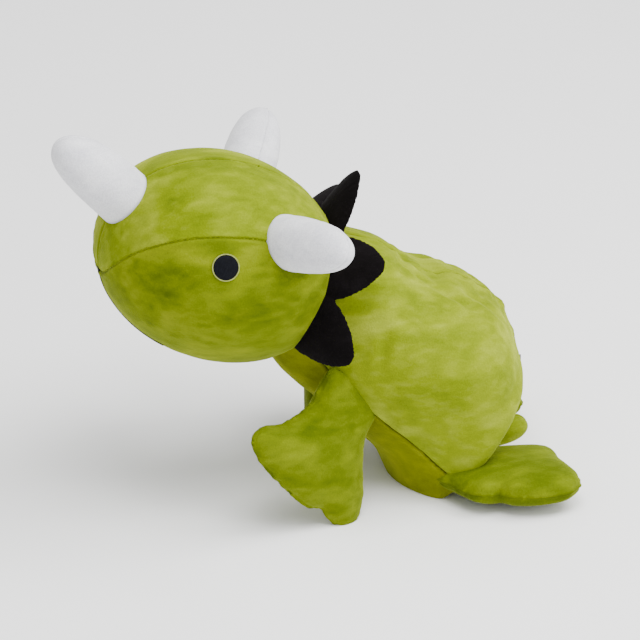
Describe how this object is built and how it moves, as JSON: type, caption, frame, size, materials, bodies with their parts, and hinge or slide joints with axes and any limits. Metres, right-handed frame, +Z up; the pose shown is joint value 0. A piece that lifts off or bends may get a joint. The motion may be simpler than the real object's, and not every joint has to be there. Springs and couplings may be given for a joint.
{
  "type": "stuffed dinosaur",
  "caption": "Sitting stuffed dinosaur of green plush with padded horns, a spiked dark frill, flat paddle-shaped legs and a stub of a tail; the head, legs and tail turn where they are sewn on.",
  "frame": {"origin": "on the floor, in the middle plane, at the middle of the flat that the rump sits on", "axes": "+Z up, -Y the way the dinosaur faces, +X its left side"},
  "size_m": [0.3014, 0.4599, 0.3709],
  "materials": {
    "green_plush": "short-pile yellow-green plush",
    "belly_plush": "short-pile olive-yellow plush",
    "white_plush": "short-pile white plush",
    "charcoal_plush": "short-pile charcoal plush",
    "black_thread": "black satin-stitched thread",
    "pale_thread": "pale satin-stitched thread",
    "label_ribbon": "dark woven ribbon, blank",
    "polyester_filling": "loose white fibre",
    "pellet_pouch": "plastic pellets in a cloth pouch"
  },
  "bodies": {
    "root": {"belly_panel": "belly_plush", "torso_panel_left": "green_plush", "torso_panel_right": "green_plush", "torso_filling": "polyester_filling", "pellet_pouch": "pellet_pouch", "seam_label": "label_ribbon"},
    "head": {"cheek_left": "green_plush", "crown_left": "green_plush", "cheek_right": "green_plush", "crown_right": "green_plush", "head_filling": "polyester_filling", "nose_horn_panel_a": "white_plush", "nose_horn_panel_b": "white_plush", "nose_horn_filling": "polyester_filling", "brow_horn_left_panel_a": "white_plush", "brow_horn_left_panel_b": "white_plush", "brow_horn_left_filling": "polyester_filling", "brow_horn_right_panel_a": "white_plush", "brow_horn_right_panel_b": "white_plush", "brow_horn_right_filling": "polyester_filling", "eye_left": "black_thread", "eye_rim_left": "pale_thread", "eye_right": "black_thread", "eye_rim_right": "pale_thread", "mouth_stitching": "black_thread", "frill_spike_top_front": "charcoal_plush", "frill_spike_top_back": "charcoal_plush", "frill_spike_top_filling": "polyester_filling", "frill_spike_upper_left_front": "charcoal_plush", "frill_spike_upper_left_back": "charcoal_plush", "frill_spike_upper_left_filling": "polyester_filling", "frill_spike_upper_right_front": "charcoal_plush", "frill_spike_upper_right_back": "charcoal_plush", "frill_spike_upper_right_filling": "polyester_filling", "frill_spike_lower_left_front": "charcoal_plush", "frill_spike_lower_left_back": "charcoal_plush", "frill_spike_lower_left_filling": "polyester_filling", "frill_spike_lower_right_front": "charcoal_plush", "frill_spike_lower_right_back": "charcoal_plush", "frill_spike_lower_right_filling": "polyester_filling"},
    "front_leg_left": {"front_leg_left_outer": "green_plush", "front_leg_left_inner": "green_plush", "front_leg_left_filling": "polyester_filling"},
    "hind_leg_left": {"hind_leg_left_outer": "green_plush", "hind_leg_left_inner": "green_plush", "hind_leg_left_filling": "polyester_filling"},
    "front_leg_right": {"front_leg_right_outer": "green_plush", "front_leg_right_inner": "green_plush", "front_leg_right_filling": "polyester_filling"},
    "hind_leg_right": {"hind_leg_right_outer": "green_plush", "hind_leg_right_inner": "green_plush", "hind_leg_right_filling": "polyester_filling"},
    "tail": {"tail_panel_a": "green_plush", "tail_panel_b": "green_plush", "tail_filling": "polyester_filling"}
  },
  "joints": [
    {"name": "head_nod", "type": "hinge", "parent": "root", "child": "head", "pos_m": [0, -0.1233, 0.2009], "axis": [1, 0, 0], "range_deg": [-10, 12]},
    {"name": "front_leg_left_flap", "type": "hinge", "parent": "root", "child": "front_leg_left", "pos_m": [0.066, -0.0945, 0.113], "axis": [0.111, -0.6482, 0.7533], "range_deg": [0, 24]},
    {"name": "front_leg_right_flap", "type": "hinge", "parent": "root", "child": "front_leg_right", "pos_m": [-0.052, -0.0905, 0.113], "axis": [-0.6361, 0.3078, 0.7076], "range_deg": [0, 24]},
    {"name": "hind_leg_left_lift", "type": "hinge", "parent": "root", "child": "hind_leg_left", "pos_m": [0.064, 0.037, 0.022], "axis": [0, -1, 0], "range_deg": [0, 18]},
    {"name": "hind_leg_right_lift", "type": "hinge", "parent": "root", "child": "hind_leg_right", "pos_m": [-0.064, 0.037, 0.022], "axis": [-0.1392, 0.9903, 0], "range_deg": [0, 18]},
    {"name": "tail_wag", "type": "hinge", "parent": "root", "child": "tail", "pos_m": [0, 0.045, 0.028], "axis": [0, 0, 1], "range_deg": [-15, 15]}
  ]
}
